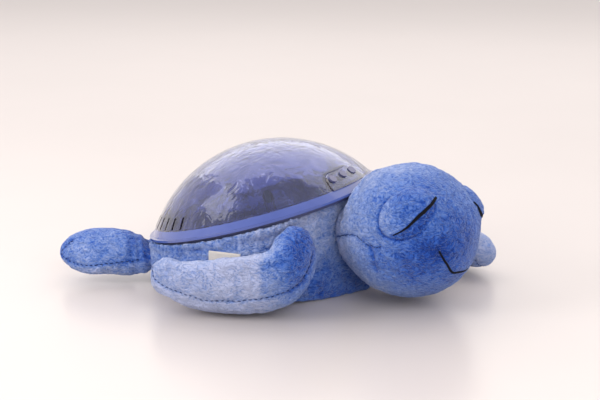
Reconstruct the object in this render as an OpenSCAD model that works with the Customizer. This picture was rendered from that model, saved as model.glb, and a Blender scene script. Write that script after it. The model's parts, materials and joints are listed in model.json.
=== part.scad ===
// Plush turtle night light: a stuffed turtle that carries a tilted projector shell on its back.
// +X points to the head, +Y to the turtle's left, +Z up; the origin lies on the flat belly,
// behind the belly opening and on the mid-plane of the body.

/* [Shell] */
// Diameter of the dome at the bottom of the rim band
rim_d = 188; // [180:1:196]
// Height of the dome above the bottom of the rim band
dome_h = 53.5; // [50:0.5:58]
// Wall of the dome
dome_wall = 2.4; // [1.8:0.1:3]
// Height of the glossy band round the dome
band_h = 7; // [5:0.5:8]
// How far the lower lip of the band stands out
band_lip = 1.6; // [1:0.1:2.4]
// Height of the lower lip
band_lip_h = 1.8; // [1:0.1:2.5]
// Nose-up tilt of the shell
shell_pitch = 16.4; // [14:0.2:18]
// Height of the rim centre above the table
shell_z = 58; // [56:0.5:62]
// Distance of the rim centre ahead of the origin
shell_x = 36; // [30:1:40]

/* [Sound slots] */
// Number of slots round the back of the dome
slot_count = 19; // [9:2:19]
// Width of one slot
slot_w = 2.2; // [1.5:0.1:3]
// Height of one slot
slot_h = 8; // [6:0.5:12]
// Angle from one slot to the next
slot_step = 7.5; // [6:0.5:8]
// Height of the slots above the band
slot_rise = 1; // [1:0.5:4]

/* [Control panel] */
// Half of the panel's width
panel_half_w = 21.5; // [20.5:0.5:23]
// Height of the panel above the band
panel_h = 12.5; // [12:0.5:15]
// Radius of the panel's upper corners
panel_corner_r = 12; // [9:0.5:12]
// Angle of the panel round the shell, towards the side that the head is turned to
panel_yaw = -12.5; // [-14:0.5:-11]
// Thickness of the panel
panel_t = 3; // [2.4:0.2:3.4]
// How far the panel stands proud of the dome
panel_proud = 0.8; // [0.4:0.1:1.2]
// Radius of a push button
button_r = 3.4; // [3:0.1:3.6]
// Distance between neighbouring buttons
button_pitch = 13.5; // [13:0.5:15]
// How far a button stands out of the panel
button_rise = 1.8; // [1.4:0.1:2.4]
// Travel of a button
button_travel = 1; // [0.6:0.1:1.2]

/* [Base housing] */
// Diameter of the housing under the shell
tray_d = 128; // [126:1:130]
// Wall of the housing
tray_wall = 2.4; // [2:0.1:3]
// Thickness of the housing's flange
flange_t = 2.5; // [2.2:0.1:3.2]
// Height of the housing's flat floor above the table
floor_z = 8; // [7.5:0.5:9]
// Diameter of one cell
cell_d = 14.2; // [13.8:0.1:14.5]
// Length of one cell
cell_l = 50; // [48:0.5:51]
// Number of cells
cell_count = 3; // [2:1:3]
// Centre of the battery well ahead of the rim centre
well_x = 34; // [32:0.5:36]
// Thickness of the battery door
door_t = 3; // [2.6:0.2:3.4]

/* [Projector] */
// Depth of the circuit board below the rim
board_depth = 14; // [12:0.5:16]
// Thickness of the circuit boards
board_t = 1.6; // [1.2:0.1:2]
// Teeth of the ripple disc
disc_teeth = 60; // [60:4:68]
// Teeth of the motor pinion
pinion_teeth = 12; // [12:1:16]
// Tooth module of the disc and the pinion
tooth_module = 1; // [0.9:0.05:1]
// Thickness of the ripple disc
disc_t = 3; // [2.4:0.2:4]
// Radius of the spindle
spindle_r = 2; // [1.6:0.1:2.4]
// Radius of the motor
motor_r = 10; // [9:0.5:11]
// Radius of the projector lens
lens_r = 13; // [11:0.5:14]
// Radius of the speaker
speaker_r = 18; // [16:0.5:18.5]

/* [Plush body] */
// How far the body swells past the shell's seat
body_bulge = 3; // [2:0.5:5]
// Half length of the flat belly
belly_half_l = 80; // [78:1:84]
// Half width of the flat belly
belly_half_w = 58; // [54:1:64]
// Centre of the flat belly ahead of the rim centre
belly_x = 14; // [12:1:15]
// Half length of the belly opening
opening_half_l = 37.5; // [37:0.5:39]
// Half width of the belly opening
opening_half_w = 30; // [29:0.5:32]
// Width of the ledge that the belly flap closes on
flap_ledge = 5; // [4.5:0.5:6]
// Thickness of the belly flap
flap_t = 3; // [2.4:0.2:3.2]

/* [Head] */
// Length of the head ahead of its widest ring
head_front = 54; // [50:1:58]
// Length of the head behind its widest ring
head_back = 72; // [68:1:76]
// Width of the head
head_w = 104; // [100:1:108]
// Height of the head
head_h = 103; // [98:1:107]
// Height of the head's centre above the table
head_z = 57.5; // [56:0.5:60]
// Turn of the face to the turtle's right
head_yaw = 31; // [28:1:33]
// Share by which the top of the head falls towards the neck seam
nape_fall = 0.25; // [0.15:0.05:0.3]
// Distance of the neck seam from the rim centre
neck_reach = 82.5; // [82:0.5:86]
// Distance of the head's widest ring from the neck seam
neck_l = 38; // [34:1:42]

/* [Flippers] */
// Half width of a front flipper at its widest
fore_half_w = 27; // [24:0.5:29]
// Half thickness of a front flipper at its thickest
fore_half_t = 15; // [13:0.5:16]
// Half width of a rear flipper at its widest
hind_half_w = 24; // [20:0.5:26]
// Half thickness of a rear flipper at its thickest
hind_half_t = 14; // [12:0.5:16]
// Angle that the left rear flipper lies further forward than the right one
hind_sweep = 18; // [14:1:24]

/* [Fits] */
// Gap between a soft form and its neighbours
soft_gap = 0.4; // [0.3:0.1:0.8]
// Gap round a panel, a door or a flap in its opening
panel_gap = 0.25; // [0.15:0.05:0.4]
// Radial clearance of a turning or sliding fit
run_gap = 0.06; // [0.03:0.01:0.1]

/* [Hidden] */
$fn = 96;
eps = 0.01;
far = 400;

rim_r = rim_d / 2;
dome_r = (rim_r * rim_r + dome_h * dome_h) / (2 * dome_h);
dome_c = dome_h - dome_r;
function dome_radius_at(z, drop = 0) = sqrt(pow(dome_r - drop, 2) - pow(z - dome_c, 2));

// The shell tilts about the Y axis through the centre of its rim.
module from_origin() {
    translate([shell_x, 0, 0]) children();
}
module in_shell() {
    from_origin() translate([0, 0, shell_z]) rotate([0, -shell_pitch, 0]) children();
}
function shell_pt(p) = [
    p.x * cos(shell_pitch) - p.z * sin(shell_pitch),
    p.y,
    shell_z + p.x * sin(shell_pitch) + p.z * cos(shell_pitch)
];

// Screws: one thread size, with heads sunk in what they hold
screw_r = 1.25;
screw_head_r = 2.6;
screw_head_h = 1.5;
screw_pass_r = 1.6;
pilot_r = screw_r + run_gap;
screw_bite = 9;
tip_room = 1;
module screw() {
    cylinder(r = screw_head_r, h = screw_head_h);
    cylinder(r = screw_r, h = screw_head_h + screw_bite);
}
module screw_hole(pass) {
    translate([0, 0, -eps]) cylinder(r = screw_head_r + panel_gap, h = screw_head_h + eps);
    cylinder(r = screw_pass_r, h = pass + tip_room);
}
module screw_pilot() {
    cylinder(r = pilot_r, h = screw_head_h + screw_bite + tip_room);
}

// Dome and band
band_lap = 2;
band_in_r = dome_radius_at(band_h, dome_wall) - band_lap;
band_arc_steps = 6;
boss_r = 4;
boss_inset = 2.5;
boss_ring_r = band_in_r - boss_r - boss_inset;
boss_angles = [60, 135, -135, -60];
flange_inset = 2;
flange_r = rim_r - flange_inset;
slot_bottom = band_h + slot_rise;

module on_bosses() {
    for (a = boss_angles)
        rotate([0, 0, a]) translate([boss_ring_r, 0, 0]) children();
}

module above(z) {
    translate([-far / 2, -far / 2, z]) cube(far);
}

module dome_shell() {
    color("lightsteelblue", 0.6) in_shell() difference() {
        union() {
            intersection() {
                difference() {
                    translate([0, 0, dome_c]) sphere(r = dome_r);
                    translate([0, 0, dome_c]) sphere(r = dome_r - dome_wall);
                }
                above(band_h);
            }
            intersection() {
                translate([0, 0, dome_c]) sphere(r = dome_r - dome_wall / 2);
                on_bosses() cylinder(r = boss_r, h = dome_h);
            }
        }
        on_bosses() translate([0, 0, -flange_t]) screw_pilot();
        rotate([0, 0, panel_yaw]) panel_prism(panel_gap);
        for (i = [0 : slot_count - 1])
            rotate([0, 0, 180 + (i - (slot_count - 1) / 2) * slot_step])
                translate([rim_r / 2, -slot_w / 2, slot_bottom])
                    cube([rim_r, slot_w, slot_h]);
    }
}

module rim_band() {
    arc = [for (i = [0 : band_arc_steps])
        let (z = band_lip_h + (band_h - band_lip_h) * i / band_arc_steps)
        [dome_radius_at(z), z]];
    outline = concat([[band_in_r, 0], [rim_r + band_lip, 0], [rim_r + band_lip, band_lip_h]],
        arc, [[band_in_r, band_h]]);
    color("royalblue") in_shell() rotate_extrude() polygon(outline);
}

// Control panel: an arched window in the front of the dome
panel_mid_z = band_h + panel_h / 2;
panel_elev = asin((panel_mid_z - dome_c) / dome_r);
button_side = [-button_pitch, 0, button_pitch];
button_flange_w = 0.6;
button_flange_r = button_r + button_flange_w;
button_flange_t = 1.4;
button_stem_r = 2;
key_board_drop = 14;
key_board_back = 6.5;
key_board_front = 2.5;
key_board_end = 7;
key_board_half_w = button_pitch + key_board_end;
key_post_r = 2;
key_post_side = button_pitch / 2;
key_post_back = 2;
key_screw_r = 0.75;
key_screw_head_r = 1.6;
key_screw_head_h = 1;
key_screw_bite = 4;
switch_half = 3;
switch_h = 3.5;
key_board_w = dome_r - key_board_drop;
switch_top = key_board_w + switch_h;
switch_air = 0.1;
stem_end = switch_top + button_travel + switch_air;
button_seat = sqrt(pow(dome_r - panel_t, 2) - pow(button_pitch + button_flange_r, 2)
    - pow(button_flange_r, 2)) - panel_gap;
button_low = dome_c + (button_seat - button_flange_t - button_travel) * sin(panel_elev);
button_up = button_flange_r - (button_low - band_h - panel_gap) / cos(panel_elev);

// Panel frame: Z leaves the centre of the dome through the middle of the panel
module in_panel() {
    in_shell() rotate([0, 0, panel_yaw]) panel_turn() children();
}
module panel_turn() {
    translate([0, 0, dome_c]) rotate([0, 90 - panel_elev, 0]) children();
}
module panel_outline(grow) {
    half = panel_half_w + grow;
    top = band_h + panel_h + grow;
    r = panel_corner_r;
    translate([-half, band_h - eps]) square([2 * half, panel_h + grow - r + eps]);
    translate([r - half, band_h - eps]) square([2 * (half - r), panel_h + grow + eps]);
    for (side = [-1, 1])
        translate([side * (half - r), top - r]) circle(r = r);
}
module panel_prism(grow) {
    translate([rim_r / 2, 0, 0]) rotate([90, 0, 90])
        linear_extrude(height = rim_r) panel_outline(grow);
}
module key_posts() {
    for (side = [-1, 1])
        translate([-key_post_back, side * key_post_side, 0]) children();
}

module control_panel() {
    color("lightsteelblue", 0.6) in_shell() rotate([0, 0, panel_yaw]) difference() {
        union() {
            intersection() {
                difference() {
                    translate([0, 0, dome_c]) sphere(r = dome_r + panel_proud);
                    translate([0, 0, dome_c]) sphere(r = dome_r - panel_t);
                }
                panel_prism(0);
                above(band_h);
            }
            panel_turn() key_posts() translate([0, 0, key_board_w])
                cylinder(r = key_post_r, h = key_board_drop - panel_t / 2);
        }
        panel_turn() for (y = button_side)
            translate([-button_up, y, key_board_w])
                cylinder(r = button_r + run_gap, h = 2 * key_board_drop);
        panel_turn() key_posts() translate([0, 0, key_board_w - eps])
            cylinder(r = key_screw_r + run_gap, h = key_screw_bite + tip_room);
    }
}

module push_button(y) {
    top = sqrt(dome_r * dome_r - y * y) + button_rise;
    in_panel() translate([-button_up, y, 0]) {
        translate([0, 0, button_seat - eps]) cylinder(r = button_r, h = top - button_seat + eps);
        translate([0, 0, button_seat - button_flange_t])
            cylinder(r = button_flange_r, h = button_flange_t);
        translate([0, 0, stem_end])
            cylinder(r = button_stem_r, h = button_seat - stem_end);
    }
}
module light_button() {
    color("white") push_button(-button_pitch);
}
module sound_button() {
    color("white") push_button(0);
}
module volume_button() {
    color("white") push_button(button_pitch);
}

module key_board() {
    color("seagreen") in_panel() difference() {
        translate([-key_board_back, -key_board_half_w, key_board_w - board_t])
            cube([key_board_back + key_board_front, 2 * key_board_half_w, board_t]);
        key_posts() translate([0, 0, key_board_w - 2 * board_t])
            cylinder(r = key_screw_r + panel_gap, h = 3 * board_t);
    }
}
module key_switches() {
    key_w = key_board_front + switch_half;
    color("dimgray") in_panel() for (y = button_side) translate([-button_up, y, key_board_w]) {
        translate([-switch_half, -switch_half, 0])
            cube([key_w, 2 * switch_half, switch_h / 2]);
        cylinder(r = button_stem_r, h = switch_h);
    }
}
module key_screws() {
    color("silver") in_panel() key_posts() {
        translate([0, 0, key_board_w - board_t - key_screw_head_h])
            cylinder(r = key_screw_head_r, h = key_screw_head_h);
        translate([0, 0, key_board_w - board_t])
            cylinder(r = key_screw_r, h = board_t + key_screw_bite);
    }
}

// Base housing: a tilted drum cut level at the floor, with the battery well in its floor
tray_r = tray_d / 2;
tray_in_r = tray_r - tray_wall;
tray_reach = (shell_z + tray_r * sin(shell_pitch)) / cos(shell_pitch) + tray_wall;
cell_gap = 1;
contact_room = 3;
cell_pitch = cell_d + cell_gap;
well_l = cell_l + 2 * contact_room;
well_w = cell_count * cell_pitch + cell_gap;
well_wall = 2;
door_lap = 1.5;
door_l = well_l + 2 * door_lap;
door_w = well_w + 2 * door_lap;
ear_l = 8;
ear_w = 16;
ear_boss_h = screw_bite + 3;
door_top = floor_z + door_t;
well_top = door_top + cell_d + 2 * cell_gap;
door_front = well_x + door_l / 2;
door_screw_x = door_front + ear_l / 2;
speaker_room = 1;
speaker_x = speaker_r + speaker_room - tray_in_r;
board_inset = 5;
board_r = tray_in_r - board_inset;
board_back = speaker_x + speaker_r + speaker_room;
board_top = -board_depth;
post_r = 3.5;
post_inset = 6.5;
post_ring_r = board_r - post_inset;
post_angles = [75, 22, -22, -75];
speaker_seat_w = 3;
speaker_depth = 10;

module drum(r, low, rise) {
    intersection() {
        in_shell() translate([0, 0, -tray_reach]) cylinder(r = r, h = tray_reach + rise);
        above(low);
    }
}
module block(x, half_l, half_w, low, top) {
    from_origin() translate([x - half_l, -half_w, low]) cube([2 * half_l, 2 * half_w, top - low]);
}
module on_posts() {
    for (a = post_angles)
        rotate([0, 0, a]) translate([post_ring_r, 0, 0]) children();
}
module door_shape(grow, low, top) {
    block(well_x, door_l / 2 + grow, door_w / 2 + grow, low, top);
    block(door_screw_x - ear_l / 4, ear_l * 3 / 4 + grow, ear_w / 2 + grow, low, top);
}
module tray_inside() {
    rib = door_lap + well_wall;
    block(well_x, well_l / 2 + rib, well_w / 2 + rib, 0, well_top + well_wall);
    block(door_screw_x, ear_l / 2 + well_wall, ear_w / 2 + well_wall, 0, door_top + ear_boss_h);
    in_shell() on_posts() translate([0, 0, -tray_reach])
        cylinder(r = post_r, h = tray_reach + board_top - board_t);
    in_shell() translate([speaker_x, 0, -tray_reach]) difference() {
        cylinder(r = speaker_r, h = tray_reach - speaker_depth);
        translate([0, 0, -eps]) cylinder(r = speaker_r - speaker_seat_w, h = tray_reach);
    }
}

module base_tray() {
    color("slategray") difference() {
        union() {
            drum(tray_r, floor_z, 0);
            in_shell() translate([0, 0, -flange_t]) cylinder(r = flange_r, h = flange_t);
        }
        difference() {
            drum(tray_in_r, floor_z + tray_wall, flange_t);
            tray_inside();
        }
        block(well_x, well_l / 2, well_w / 2, door_top - eps, well_top);
        door_shape(panel_gap, 0, door_top);
        from_origin() translate([door_screw_x, 0, door_top - eps])
            cylinder(r = pilot_r, h = screw_bite + tip_room);
        in_shell() on_bosses() translate([0, 0, -flange_t]) screw_hole(flange_t);
        in_shell() on_posts() translate([0, 0, board_top - board_t - screw_bite])
            cylinder(r = pilot_r, h = screw_bite + eps);
    }
}

module case_screws() {
    color("silver") in_shell() on_bosses() translate([0, 0, -flange_t]) screw();
}

module battery_door() {
    color("slategray") difference() {
        door_shape(0, floor_z, door_top);
        from_origin() translate([door_screw_x, 0, floor_z]) screw_hole(door_t);
    }
}
module door_screw() {
    color("silver") from_origin() translate([door_screw_x, 0, floor_z]) screw();
}

// Cells lie along X, side by side, on the closed door
cell_z = door_top + cell_gap / 2 + cell_d / 2;
nub_r = 2.7;
nub_l = 1.2;
contact_t = 0.5;
contact_w = 9;
function cell_y(i) = (i - (cell_count - 1) / 2) * cell_pitch;
function cell_turn(i) = i % 2 == 0 ? 1 : -1;
module battery_cells() {
    color("goldenrod") from_origin() for (i = [0 : cell_count - 1])
        translate([well_x, cell_y(i), cell_z]) rotate([0, cell_turn(i) * 90, 0]) {
            translate([0, 0, -cell_l / 2]) cylinder(d = cell_d, h = cell_l - nub_l);
            translate([0, 0, cell_l / 2 - nub_l - eps]) cylinder(r = nub_r, h = nub_l + eps);
        }
}
module battery_contacts() {
    leaf = contact_room - contact_t;
    color("silver") from_origin() for (i = [0 : cell_count - 1]) for (end = [-1, 1])
        translate([well_x, cell_y(i), cell_z]) scale_x(end) {
            translate([well_l / 2 - contact_t, -contact_w / 2, -contact_w / 2])
                cube([contact_t, contact_w, contact_w]);
            translate([cell_l / 2, -contact_w / 4, contact_w / 2 - contact_t])
                cube([leaf + contact_t, contact_w / 2, contact_t]);
            translate([cell_l / 2, -contact_w / 4, -contact_t])
                cube([contact_t, contact_w / 2, contact_w / 2]);
        }
}
module scale_x(end) {
    if (end > 0) children();
    else mirror([1, 0, 0]) children();
}

module main_board() {
    color("seagreen") in_shell() difference() {
        intersection() {
            translate([0, 0, board_top - board_t]) cylinder(r = board_r, h = board_t);
            translate([board_back, -far / 2, -far / 2]) cube(far);
        }
        on_posts() translate([0, 0, board_top - 2 * board_t])
            cylinder(r = screw_pass_r, h = 3 * board_t);
    }
}
module board_screws() {
    color("silver") in_shell() on_posts() translate([0, 0, board_top]) {
        cylinder(r = screw_head_r, h = screw_head_h);
        translate([0, 0, tip_room - board_t - screw_bite])
            cylinder(r = screw_r, h = board_t + screw_bite);
    }
}
chip_half = 6;
chip_h = 2;
chip_x = 34;
chip_y = -28;
module sound_chip() {
    color("black") in_shell() translate([chip_x - chip_half, chip_y - chip_half, board_top])
        cube([2 * chip_half, 2 * chip_half, chip_h]);
}

// Light engine: lamp and reflector under the edge of a slowly turning ripple disc
spindle_foot_r = 4.6;
spindle_foot_h = 2;
spindle_room = 3;
beam_off = 22;
spindle_x = board_back + spindle_foot_r + spindle_room;
beam_x = spindle_x + beam_off;
lamp_board_r = 11;
lamp_r = 3;
lamp_h = 1.2;
lamp_lens_r = 2.4;
cup_t = 1.4;
cup_foot_r = 5.5;
cup_h = 13;
cup_slope = 0.75;
lamp_top = board_top + board_t;
cup_top = lamp_top + cup_h;
disc_air = 4;
disc_low = cup_top + disc_air;
disc_hub_r = 5;
disc_hub_rise = 2;
disc_hub_h = disc_t + disc_hub_rise;
disc_pitch_r = disc_teeth * tooth_module / 2;
pinion_pitch_r = pinion_teeth * tooth_module / 2;
mesh_gap = 0.15;
motor_off = disc_pitch_r + pinion_pitch_r + mesh_gap;
motor_angle = 75;
shoulder_w = 1.4;
shoulder_r = spindle_r + shoulder_w;
clip_h = 1.2;
ripple_groove_r = 0.8;
ripple_rings = [9, 13, 17, 21, 25];

module lamp_board() {
    color("white") in_shell() translate([beam_x, 0, board_top]) cylinder(r = lamp_board_r, h = board_t);
}
module lamp() {
    color("lightyellow") in_shell() translate([beam_x, 0, lamp_top]) {
        cylinder(r = lamp_r, h = lamp_h);
        intersection() {
            translate([0, 0, lamp_h]) sphere(r = lamp_lens_r);
            translate([-lamp_r, -lamp_r, lamp_h - eps]) cube(2 * lamp_r);
        }
    }
}
module reflector() {
    top_r = cup_foot_r + cup_h * cup_slope;
    color("whitesmoke") in_shell() translate([beam_x, 0, lamp_top]) rotate_extrude()
        polygon([[cup_foot_r - cup_t, 0], [cup_foot_r, 0], [top_r, cup_h], [top_r - cup_t, cup_h]]);
}

// Gear outline: straight-flanked teeth, thinned so that the pair runs with play
function gear_points(teeth, phase) =
    let (pitch_r = teeth * tooth_module / 2, m = tooth_module,
        shape = [[-0.92, -1.15], [-0.62, 0], [-0.30, 0.85], [0.30, 0.85], [0.62, 0], [0.92, -1.15]])
    [for (i = [0 : teeth - 1]) for (q = shape)
        let (r = pitch_r + q[1] * m, a = phase + i * 360 / teeth + q[0] * m / pitch_r * 180 / PI)
        [r * cos(a), r * sin(a)]];

module ripple_disc() {
    color("aliceblue", 0.7) in_shell() translate([spindle_x, 0, disc_low]) difference() {
        union() {
            linear_extrude(height = disc_t) polygon(gear_points(disc_teeth, motor_angle));
            cylinder(r = disc_hub_r, h = disc_hub_h);
        }
        translate([0, 0, -eps]) cylinder(r = spindle_r + run_gap, h = disc_hub_h + 2 * eps);
        for (r = ripple_rings)
            rotate_extrude() translate([r, disc_t]) circle(r = ripple_groove_r);
    }
}
module spindle() {
    color("silver") in_shell() translate([spindle_x, 0, board_top]) {
        cylinder(r = spindle_foot_r, h = spindle_foot_h);
        cylinder(r = shoulder_r, h = disc_low - board_top - run_gap);
        cylinder(r = spindle_r, h = disc_low - board_top + disc_hub_h + run_gap + clip_h);
    }
}
module spindle_clip() {
    color("dimgray") in_shell() translate([spindle_x, 0, disc_low + disc_hub_h + run_gap])
        difference() {
            cylinder(r = shoulder_r, h = clip_h);
            translate([0, 0, -eps]) cylinder(r = spindle_r, h = clip_h + 2 * eps);
        }
}

motor_h = 15;
motor_boss_r = 3;
motor_boss_h = 1;
shaft_r = 1;
shaft_sunk = 7;
pinion_over = 0.5;
pinion_h = disc_t + 2 * pinion_over;
pinion_low = disc_low - pinion_over;
motor_top = board_top + motor_h;
bracket_t = 2;
bracket_h = 8;
bracket_ear = 7;
bracket_ear_t = 2;

module at_motor() {
    in_shell() translate([spindle_x + motor_off * cos(motor_angle), motor_off * sin(motor_angle), 0])
        children();
}
module bracket_ears() {
    for (side = [-1, 1])
        translate([0, side * (motor_r + bracket_t + bracket_ear / 2), 0]) children();
}
module motor() {
    color("silver") at_motor() difference() {
        union() {
            translate([0, 0, board_top]) cylinder(r = motor_r, h = motor_h);
            translate([0, 0, motor_top - eps]) cylinder(r = motor_boss_r, h = motor_boss_h + eps);
        }
        translate([0, 0, motor_top - shaft_sunk])
            cylinder(r = shaft_r + run_gap, h = shaft_sunk + motor_boss_h + eps);
    }
}
module motor_shaft() {
    low = motor_top - shaft_sunk + run_gap;
    color("dimgray") at_motor() translate([0, 0, low])
        cylinder(r = shaft_r, h = pinion_low + pinion_h - low);
}
module pinion() {
    color("gold") at_motor() translate([0, 0, pinion_low]) difference() {
        linear_extrude(height = pinion_h)
            polygon(gear_points(pinion_teeth, motor_angle + 180 + 180 / pinion_teeth));
        translate([0, 0, -eps]) cylinder(r = shaft_r, h = pinion_h + 2 * eps);
    }
}
module motor_bracket() {
    color("gainsboro") at_motor() translate([0, 0, board_top]) difference() {
        union() {
            cylinder(r = motor_r + bracket_t, h = bracket_h);
            translate([-bracket_ear / 2, -(motor_r + bracket_t + bracket_ear), 0])
                cube([bracket_ear, 2 * (motor_r + bracket_t + bracket_ear), bracket_ear_t]);
        }
        translate([0, 0, -eps]) cylinder(r = motor_r + run_gap, h = bracket_h + 2 * eps);
        bracket_ears() translate([0, 0, -eps])
            cylinder(r = key_screw_r + panel_gap, h = bracket_ear_t + 2 * eps);
    }
}
module bracket_screws() {
    color("silver") at_motor() bracket_ears() translate([0, 0, board_top + bracket_ear_t]) {
        cylinder(r = key_screw_head_r, h = key_screw_head_h);
        translate([0, 0, -bracket_ear_t]) cylinder(r = key_screw_r, h = bracket_ear_t);
    }
}

// Lens over the beam, held beside the disc on two legs
lens_air = 2;
lens_low = disc_low + disc_hub_h + clip_h + lens_air;
lens_rim_t = 3;
lens_ring_h = 4;
lens_lip = 1;
lens_curve_r = 26;
lens_bulge = 1.5;
leg_off = 27;
leg_x = beam_x + leg_off;
leg_y = 11;
leg_r = 2.5;
arm_t = 3;
module lens_holder() {
    color("slategray") in_shell() difference() {
        union() {
            translate([beam_x, 0, lens_low]) cylinder(r = lens_r + lens_rim_t, h = lens_ring_h);
            for (side = [-1, 1]) {
                translate([beam_x, side * leg_y - leg_r, lens_low])
                    cube([leg_x - beam_x, 2 * leg_r, arm_t]);
                translate([leg_x, side * leg_y, board_top])
                    cylinder(r = leg_r, h = lens_low + arm_t - board_top);
            }
        }
        translate([beam_x, 0, lens_low - eps])
            cylinder(r = lens_r - lens_lip, h = lens_ring_h + 2 * eps);
        translate([beam_x, 0, lens_low + lens_lip])
            cylinder(r = lens_r + run_gap, h = lens_ring_h);
    }
}
module projector_lens() {
    color("azure", 0.6) in_shell() translate([beam_x, 0, lens_low + lens_lip]) intersection() {
        cylinder(r = lens_r, h = lens_r);
        translate([0, 0, lens_ring_h - lens_curve_r + lens_bulge]) sphere(r = lens_curve_r);
    }
}

// Speaker: basket and magnet in one, a paper cone and a clamping ring
magnet_r = 9;
magnet_h = 6;
basket_air = 0.5;
basket_r = speaker_r - speaker_seat_w - basket_air;
basket_h = 7;
speaker_rim_t = 3;
cone_t = 0.8;
cone_drop = 5;
cone_cap_r = 6;
ring_w = 2.5;
ring_h = 1.6;
module at_speaker() {
    in_shell() translate([speaker_x, 0, -speaker_depth]) children();
}
cone_inset = 1;
cone_out_r = basket_r - cone_inset;
module speaker() {
    color("dimgray") at_speaker() difference() {
        union() {
            cylinder(r = speaker_r, h = speaker_rim_t);
            translate([0, 0, -basket_h]) cylinder(r = basket_r, h = basket_h + eps);
            translate([0, 0, -basket_h - magnet_h]) cylinder(r = magnet_r, h = magnet_h + eps);
        }
        translate([0, 0, speaker_rim_t]) rotate_extrude()
            polygon([[0, -cone_drop], [cone_cap_r, -cone_drop], [cone_out_r, 0],
                [cone_out_r, eps], [0, eps]]);
    }
}
module speaker_cone() {
    color("black") at_speaker() translate([0, 0, speaker_rim_t]) rotate_extrude()
        polygon([[0, -cone_drop], [cone_cap_r, -cone_drop], [cone_out_r, 0],
            [cone_out_r - cone_t, 0], [cone_cap_r, cone_t - cone_drop], [0, 2 * cone_t - cone_drop]]);
}
module speaker_ring() {
    color("slategray") at_speaker() translate([0, 0, speaker_rim_t]) difference() {
        cylinder(r = speaker_r, h = ring_h);
        translate([0, 0, -eps]) cylinder(r = speaker_r - ring_w, h = ring_h + 2 * eps);
    }
}

// Soft forms: skins over rings of points, closed at both ends or joined into a loop
ring_n = 48;
function ring_angle(i, n = ring_n) = (i + 0.5) * 360 / n;
function mix(a, b, t) = a + (b - a) * t;
function unit_of(v) = v / norm(v);
function flat(v) = [v.x, v.y];
function sum(v, i = 0) = i == len(v) - 1 ? v[i] : v[i] + sum(v, i + 1);
function centre_of(ring) = sum(ring) / len(ring);
function band_faces(n, a, b) = [for (i = [0 : n - 1]) let (k = (i + 1) % n)
    each [[a * n + i, b * n + k, a * n + k], [a * n + i, b * n + i, b * n + k]]];

module loop_skin(rings) {
    n = len(rings[0]);
    m = len(rings);
    points = [for (ring = rings) each ring];
    polyhedron(points, [for (j = [0 : m - 1]) each band_faces(n, j, (j + 1) % m)]);
}
module closed_skin(rings, start) {
    n = len(rings[0]);
    m = len(rings);
    points = concat([for (ring = rings) each ring], [start, centre_of(rings[m - 1])]);
    sides = [for (j = [0 : m - 2]) each band_faces(n, j, j + 1)];
    start_cap = [for (i = [0 : n - 1]) [m * n, i, (i + 1) % n]];
    end_cap = [for (i = [0 : n - 1]) [m * n + 1, (m - 1) * n + (i + 1) % n, (m - 1) * n + i]];
    polyhedron(points, concat(sides, start_cap, end_cap));
}

// Body: a padded ring that the housing sinks into, flat under the belly, open for the battery door
seat_lap = 1;
seat_r = rim_r + seat_lap;
seat_drop = flange_t + soft_gap;
body_r = seat_r + body_bulge;
girth_share = 0.5;
facet_room = 0.2;
pocket_r = tray_r + soft_gap + facet_room;
pocket_z = floor_z - soft_gap;
strip_t = 0.5;
strip_air = 0.1;
ledge_z = flap_t + 2 * strip_t + strip_air;
opening_back = 3;
opening_x = well_x + ear_l / 2 - opening_back;
head_fore = [cos(head_yaw), -sin(head_yaw), 0];
roll_steps = 4;

function seat_pt(a) = shell_pt([seat_r * cos(a), seat_r * sin(a), -seat_drop]);
function girth_pt(a) = let (s = seat_pt(a), h = flat(s), r = norm(h))
    [h.x * (1 + body_bulge / r), h.y * (1 + body_bulge / r), s.z * girth_share];
function belly_pt(a) = [belly_x + belly_half_l * cos(a), belly_half_w * sin(a), 0];
function under_pt(a, roll) = let (b = belly_pt(a), g = girth_pt(a))
    [mix(b.x, g.x, sin(roll)), mix(b.y, g.y, sin(roll)), g.z * (1 - cos(roll))];
function upper_pt(a, t) = let (g = girth_pt(a), s = seat_pt(a))
    [mix(g.x, s.x, t * t), mix(g.y, s.y, t * t), mix(g.z, s.z, t)];
function wall_reach(a, z) =
    let (g = girth_pt(a), s = seat_pt(a), t = min(max((z - g.z) / (s.z - g.z), 0), 1))
    mix(norm(flat(g)), norm(flat(s)) + band_lip - seat_lap + 2 * soft_gap, t * t);
function seat_z(x) = shell_z + x * tan(shell_pitch) - seat_drop / cos(shell_pitch);
function chest_pt(p) = let (q = p - head_fore * max(p * head_fore - neck_reach, 0))
    [q.x, q.y, min(q.z, seat_z(q.x))];
function pocket_pt(a) = let (x = pocket_r * cos(a))
    shell_pt([x, pocket_r * sin(a), (pocket_z - shell_z - x * sin(shell_pitch)) / cos(shell_pitch)]);
function square_off(c) = sign(c) * sqrt(abs(c));
function opening_pt(a, grow, z) = [opening_x + (opening_half_l + grow) * square_off(cos(a)),
    (opening_half_w + grow) * square_off(sin(a)), z];
function around(f) = [for (i = [0 : ring_n - 1]) f(ring_angle(i))];

module torso() {
    under = [for (k = [0 : roll_steps])
        around(function (a) chest_pt(under_pt(a, 90 * k / roll_steps)))];
    upper = [for (t = [0.5, 1]) around(function (a) chest_pt(upper_pt(a, t)))];
    seat_in = around(function (a) shell_pt([pocket_r * cos(a), pocket_r * sin(a), -seat_drop]));
    pocket = around(function (a) pocket_pt(a));
    hole = [for (q = [[0, pocket_z], [0, ledge_z], [flap_ledge, ledge_z], [flap_ledge, 0]])
        around(function (a) opening_pt(a, q[0], q[1]))];
    color("cornflowerblue") from_origin() loop_skin(concat(under, upper, [seat_in, pocket], hole));
}

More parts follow.
